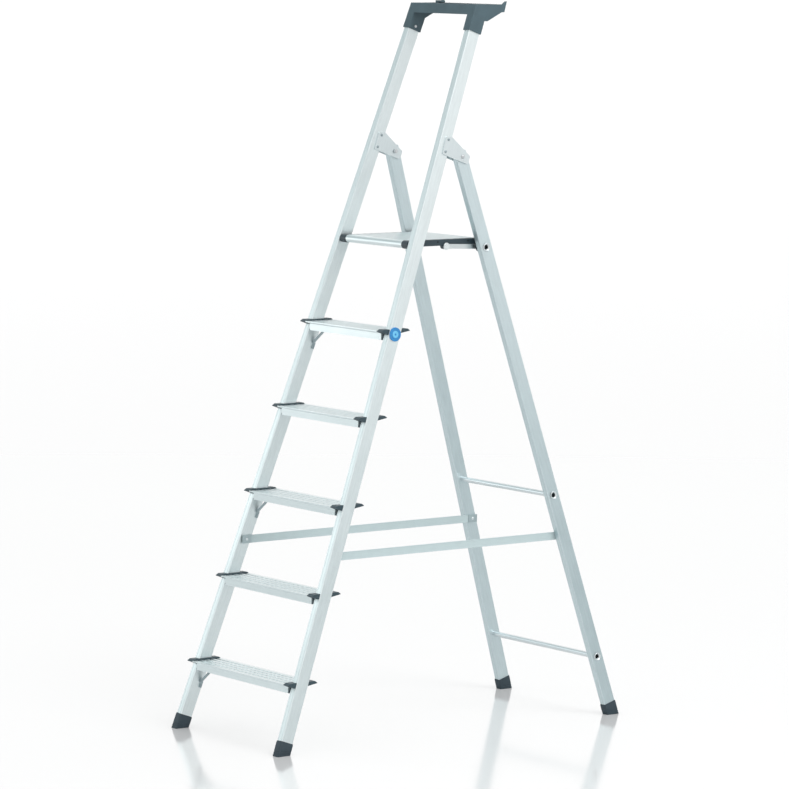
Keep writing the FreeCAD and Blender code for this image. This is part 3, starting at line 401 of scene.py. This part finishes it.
def rounded_rectangle(x0, x1, y0, y1, radius):
    """Points round a rectangle, with an arc of short steps at each corner."""
    points = []
    for cx, cy, start in ((x1 - radius, y1 - radius, 0), (x0 + radius, y1 - radius, 90),
                          (x0 + radius, y0 + radius, 180), (x1 - radius, y0 + radius, 270)):
        for step in range(CORNER_STEPS + 1):
            angle = math.radians(start + 90 * step / CORNER_STEPS)
            points.append((cx + radius * math.cos(angle), cy + radius * math.sin(angle)))
    return points


FRONT_FOOT_HEIGHT, REAR_FOOT_HEIGHT = 48.0, 33.0
FOOT_CORNER = 2.0               # radius of the stile's corners, on which the foot sits
# share of the height from the floor to the upper rim, and how proud of the stile
FOOT_SHAPE = [(0.0, 1.2), (0.03, 2.1), (0.12, 2.2), (0.135, 1.5), (0.175, 1.5), (0.19, 2.2),
              (0.27, 2.2), (0.285, 1.5), (0.325, 1.5), (0.34, 2.2), (0.88, 2.2), (0.895, 1.8),
              (0.95, 1.8), (0.985, 1.5), (1.0, 0.9), (1.0, -0.6)]


def foot_rings(origin, axes, width, height):
    """Rings level with the floor at the sole and square to the stile at the rim."""
    inward, up, depth = axes
    rings = []
    for share, proud in FOOT_SHAPE:
        ring = []
        for w, v in rounded_rectangle(-proud, width + proud, -proud, STILE_DEPTH + proud,
                                      FOOT_CORNER + proud):
            corner = origin + inward * w * MM + depth * v * MM
            floor_up = -corner.z / up.z
            ring.append(corner + up * (floor_up + (height * MM - floor_up) * share))
        rings.append(ring)
    return rings


def build_feet():
    """Ribbed shoes, made on the right-hand stiles and mirrored to the left."""
    front = foot_rings(front_origin(), stile_axes(FRONT_TAPER, FRONT_LEAN), FRONT_WIDTH,
                       FRONT_FOOT_HEIGHT)
    rear = foot_rings(rear_origin(), stile_axes(REAR_TAPER, REAR_LEAN), REAR_WIDTH,
                      REAR_FOOT_HEIGHT)
    for end, rings in (("front", front), ("rear", rear)):
        for side, sign in (("right", 1), ("left", -1)):
            sided = [[Vector((p.x * sign, p.y, p.z)) for p in ring] for ring in rings]
            foot = new_piece(f"{end}_shoe_{side}", sided, finishes["foot_plastic"])
            settle(foot, f"{end}_frame", "foot_plastic", f"{end}_foot_{side}")


# ---- spreader straps ------------------------------------------------------------------

STRAP_STEPS = 140
END_GAP = 0.5                   # points this close to the end of the strap belong to it
# place across the strap, and half its thickness there
STRAP_SECTION = [(-12.0, 0.35), (-11.6, 0.8), (-10.6, 0.8), (-10.1, 0.62), (-5.0, 0.66),
                 (0.0, 0.68), (5.0, 0.66), (10.1, 0.62), (10.6, 0.8), (11.6, 0.8), (12.0, 0.35)]


def strap_line(node):
    """Ends of the strap's middle line, from its plain solid."""
    low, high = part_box(node)
    points = [v.co for v in nodes[node].data.vertices]
    ends = []
    for y in (low.y, high.y):
        near = [p for p in points if abs(p.y - y) < END_GAP * MM]
        ends.append(Vector((sum(p.x for p in near) / len(near), y, (low.z + high.z) / 2)))
    return ends


def build_strap(side):
    """Webbing with raised selvedges, pulled flat between its clamps."""
    start, end = strap_line(f"strap_{side}")
    pull = (end - start).normalized()
    out = Vector((pull.y, -pull.x, 0))
    rings = []
    for step in range(STRAP_STEPS + 1):
        middle = start.lerp(end, step / STRAP_STEPS)
        ring = [middle + Vector((0, 0, z * MM)) + out * half * MM for z, half in STRAP_SECTION]
        ring += [middle + Vector((0, 0, z * MM)) - out * half * MM
                 for z, half in reversed(STRAP_SECTION)]
        rings.append(ring)
    strap = new_piece(f"spreader_strap_{side}", rings, finishes["strap_webbing"])
    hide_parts(f"strap_{side}")
    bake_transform(strap)


# ---- badge ----------------------------------------------------------------------------

TURN_STEPS = 48


def build_turned(name, centre, axis, profile, material):
    """Turned piece: profile is (radius, height along the axis) from the rim to the middle."""
    side = axis.orthogonal().normalized()
    other = axis.cross(side)
    rings = []
    for radius, height in profile:
        ring = []
        for step in range(TURN_STEPS):
            angle = 2 * math.pi * step / TURN_STEPS
            spoke = side * math.cos(angle) + other * math.sin(angle)
            ring.append(centre + (spoke * radius + axis * height) * MM)
        rings.append(ring)
    return new_piece(name, rings, material, degrees=30)


def build_badge():
    """Round badge of plain rings on the outer face of the right front stile."""
    low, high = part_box("badge_disc")
    inward, _, _ = stile_axes(FRONT_TAPER, FRONT_LEAN)
    axis = -inward
    centre = (low + high) / 2
    heights = [(v.co - centre).dot(axis) / MM for v in nodes["badge_disc"].data.vertices]
    back, face = min(heights), max(heights)
    ring = build_turned("badge_ring", centre, axis, [
        (19.6, back + 0.02), (20.4, back + 0.5), (20.5, face - 0.7), (20.0, face - 0.15),
        (19.2, face), (17.6, face), (17.0, face - 0.5), (13.6, face - 0.5), (13.1, face - 0.05),
        (11.9, face - 0.05), (11.4, face - 0.6), (2.0, face - 0.6)], finishes["badge_blue"])
    settle(ring, "front_frame", "badge_blue", "badge_disc")
    eye = build_turned("badge_eye", centre, axis, [
        (10.6, face - 0.6), (10.6, face + 0.5), (10.1, face + 0.9), (6.6, face + 0.9),
        (6.2, face + 0.35), (3.6, face + 0.35), (3.4, face + 0.2), (0.6, face + 0.2)],
        finishes["badge_light_blue"])
    settle(eye, "front_frame", "badge_light_blue", "badge_centre")
    dot = build_turned("badge_dot", centre, axis, [
        (3.2, face), (3.2, face + 0.8), (2.7, face + 1.1), (0.5, face + 1.2)],
        finishes["badge_blue"])
    settle(dot, "front_frame", "badge_blue", "badge_centre")


build_feet()
for side in ("left", "right"):
    build_strap(side)
build_badge()


# ---- studio ---------------------------------------------------------------------------

def studio_sheet(name, corners, material):
    """One flat sheet of the studio, which is not part of the ladder."""
    mesh = bpy.data.meshes.new(name)
    mesh.from_pydata(corners, [], [(0, 1, 2, 3)])
    mesh.materials.append(material)
    sheet = bpy.data.objects.new(name, mesh)
    bpy.context.scene.collection.objects.link(sheet)
    return sheet


def build_floor():
    """Glossy white floor; its faint glow stands for light from all round, so that shadows
    stay soft, and its coat gives the dim reflections below the feet."""
    material, _ = new_material("white_studio_floor", Roughness=0.12,
                               Base_Color=linear("#cccccc"), Emission_Strength=0.17,
                               Coat_Weight=0.6, Coat_Roughness=0.1,
                               Emission_Color=linear("#ffffff"))
    reach = 400.0
    floor = studio_sheet("studio_floor", [(-reach, -reach, 0), (reach, -reach, 0),
                                          (reach, reach, 0), (-reach, reach, 0)], material)


def area_light(name, place, target, size, power):
    """Round soft light at place, turned to the target; metres and watts."""
    data = bpy.data.lights.new(name, "AREA")
    data.shape = "DISK"
    data.size = size
    data.energy = power
    light = bpy.data.objects.new(name, data)
    bpy.context.scene.collection.objects.link(light)
    light.location = place
    light.rotation_euler = (Vector(target) - Vector(place)).to_track_quat("-Z", "Y").to_euler()


def build_light():
    """Even white room that is dimmer on the climber's left, and two soft lights."""
    world = bpy.data.worlds.new("studio")
    world.use_nodes = True
    background = world.node_tree.nodes["Background"]
    place = add_node(world, "ShaderNodeTexCoord")
    side = add_node(world, "ShaderNodeVectorMath", {"operation": "DOT_PRODUCT",
                                                    1: (-0.84, -0.5, 0.2)})
    feed(world, place.outputs["Generated"], side, 0)
    shade = add_node(world, "ShaderNodeValToRGB", Fac=side.outputs["Value"])
    shade.color_ramp.interpolation = "EASE"
    set_ramp(shade, (0.5, linear("#ffffff")), (0.92, linear("#c6d1d3")))
    feed(world, shade.outputs["Color"], background, "Color")
    background.inputs["Strength"].default_value = 1.0
    bpy.context.scene.world = world
    area_light("key_light", (4.5, 1.0, 6.5), (0, 0, 1.0), 4.0, 200)
    area_light("front_light", (-2.9, -2.3, 1.6), (0, -0.4, 0.8), 2.2, 12)


def build_flag():
    """Grey card on the climber's right, behind the ladder: it takes light off the lower half."""
    material, _ = new_material("grey_studio_card", Roughness=0.9,
                               Base_Color=linear("#c9d3d5"))
    flag = studio_sheet("studio_flag", [(3.6, 0.4, 0.0), (1.2, 3.2, 0.0), (1.2, 3.2, 0.75),
                                        (3.6, 0.4, 0.75)], material)
    flag.visible_camera = False
    flag.visible_shadow = False


def build_camera():
    """Long lens from the climber's right, a little above the platform."""
    azimuth, elevation, roll = math.radians(53.99), math.radians(6.21), math.radians(0.45)
    right = Vector((math.cos(azimuth), math.sin(azimuth), 0))
    back = Vector((math.sin(azimuth) * math.cos(elevation),
                   -math.cos(azimuth) * math.cos(elevation), math.sin(elevation)))
    up = back.cross(right)
    side = right * math.cos(roll) + up * math.sin(roll)
    top = up * math.cos(roll) - right * math.sin(roll)
    data = bpy.data.cameras.new("camera")
    data.sensor_width = 36.0
    data.lens = 199.12
    data.clip_start, data.clip_end = 0.1, 1000.0
    camera = bpy.data.objects.new("camera", data)
    bpy.context.scene.collection.objects.link(camera)
    place = Matrix((side, top, back)).transposed().to_4x4()
    place.translation = Vector((10.4521, -7.6177, 2.3928))
    camera.matrix_world = place
    bpy.context.scene.camera = camera


build_floor()
build_light()
build_flag()
build_camera()
bpy.context.scene.view_settings.view_transform = "Standard"
